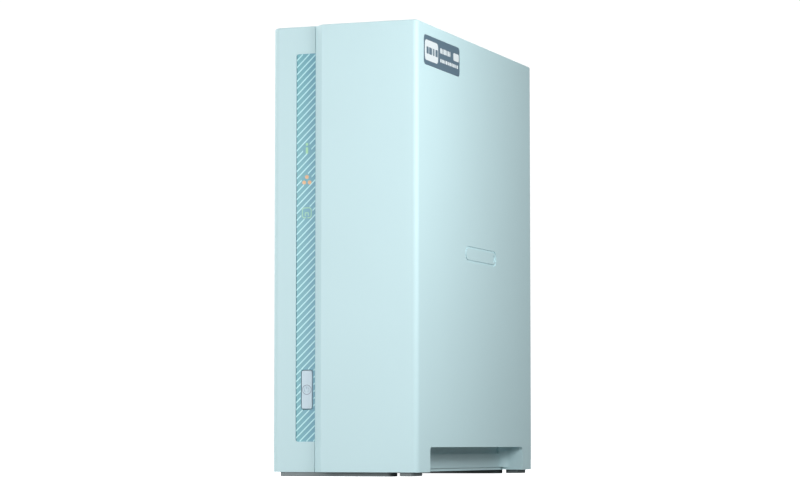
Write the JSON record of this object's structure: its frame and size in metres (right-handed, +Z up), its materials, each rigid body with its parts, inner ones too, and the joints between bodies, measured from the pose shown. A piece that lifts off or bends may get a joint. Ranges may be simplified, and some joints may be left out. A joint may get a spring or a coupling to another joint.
{
  "type": "network attached storage",
  "caption": "Upright one-bay network storage box with a sliding side cover, striped status window, power button, rear fan and sockets.",
  "frame": {"origin": "middle of the footprint, on the surface that the feet stand on", "axes": "+Z up, -Y the front with the status window, +X the side of the sliding cover"},
  "size_m": [0.0662, 0.1562, 0.1886],
  "materials": {
    "housing_plastic": "fine moulded grain",
    "window_plastic": "clear strip printed on its back",
    "green_mark": "tinted, translucent",
    "orange_mark": "tinted, translucent",
    "clear_guide": "clear, polished",
    "button_plastic": "fine moulded grain",
    "foot_rubber": "dull",
    "label_film": "printed film",
    "circuit_board": "solder mask over glass cloth",
    "chip_resin": "moulded resin",
    "lamp_resin": "clear resin",
    "socket_plastic": "moulded",
    "link_plastic": "moulded",
    "shield_steel": "tin plated",
    "screw_steel": "zinc plated",
    "bay_steel": "galvanised sheet",
    "drive_aluminium": "die cast",
    "lid_steel": "brushed",
    "grommet_rubber": "dull",
    "sink_aluminium": "extruded, anodised",
    "cell_steel": "pressed",
    "fan_plastic": "moulded",
    "bearing_brass": "turned",
    "coil_copper": "wound, lacquered",
    "magnet_ferrite": "pressed ferrite",
    "shaft_steel": "ground",
    "lead_sleeve": "smooth",
    "can_aluminium": "sleeved can"
  },
  "bodies": {
    "root": {"left_shell": "housing_plastic", "base_tray": "housing_plastic", "base_screws": "screw_steel", "rear_panel": "housing_plastic", "cover_screws": "screw_steel", "front_foot_bar": "foot_rubber", "rear_foot_bar": "foot_rubber", "status_window": "window_plastic", "status_mark": "green_mark", "network_mark": "orange_mark", "drive_mark": "green_mark", "light_guide": "clear_guide", "front_board": "circuit_board", "indicator_lamps": "lamp_resin", "front_board_screws": "screw_steel", "power_switch": "chip_resin", "main_board": "circuit_board", "board_screws": "screw_steel", "processor": "chip_resin", "heat_sink": "sink_aluminium", "memory_chips": "chip_resin", "capacitors": "can_aluminium", "buzzer": "chip_resin", "battery_holder": "socket_plastic", "coin_cell": "cell_steel", "network_jack": "shield_steel", "usb_port_lower": "shield_steel", "usb_port_upper": "shield_steel", "power_inlet": "socket_plastic", "reset_switch": "socket_plastic", "socket_board": "circuit_board", "socket_board_screws": "screw_steel", "board_link": "link_plastic", "drive_socket": "socket_plastic", "drive_cage": "bay_steel", "cage_screws": "screw_steel", "fan_frame": "fan_plastic", "fan_bearing": "bearing_brass", "fan_coil": "coil_copper", "fan_screws": "screw_steel", "fan_header": "link_plastic", "fan_plug": "link_plastic", "fan_lead": "lead_sleeve"},
    "side_cover": {"side_cover": "housing_plastic", "cover_front_pad": "foot_rubber", "cover_rear_pad": "foot_rubber", "product_label": "label_film"},
    "power_button": {"power_button": "button_plastic", "switch_plunger": "socket_plastic"},
    "reset_button": {"reset_button": "link_plastic"},
    "fan_rotor": {"fan_rotor": "fan_plastic", "fan_magnet": "magnet_ferrite", "fan_shaft": "shaft_steel"},
    "drive_sled": {"drive_sled": "bay_steel", "sled_grommets": "grommet_rubber", "drive_screws": "screw_steel", "drive_casting": "drive_aluminium", "drive_lid": "lid_steel", "drive_board": "circuit_board", "drive_plug": "socket_plastic"}
  },
  "joints": [
    {"name": "cover_slide", "type": "slide", "parent": "root", "child": "side_cover", "axis": [0, -1, 0], "range_m": [0, 0.012]},
    {"name": "power_press", "type": "slide", "parent": "root", "child": "power_button", "axis": [0, 1, 0], "range_m": [0, 0.0008], "stiffness_N_per_m": 900, "springref_m": -0.0006},
    {"name": "reset_press", "type": "slide", "parent": "root", "child": "reset_button", "axis": [0, -1, 0], "range_m": [0, 0.0004], "stiffness_N_per_m": 900, "springref_m": -0.0004},
    {"name": "fan_spin", "type": "hinge", "parent": "root", "child": "fan_rotor", "pos_m": [-0.0012, 0.069, 0.148], "axis": [0, 1, 0], "continuous": true},
    {"name": "drive_lift", "type": "slide", "parent": "root", "child": "drive_sled", "axis": [0, 0, 1], "range_m": [0, 0.007]}
  ]
}
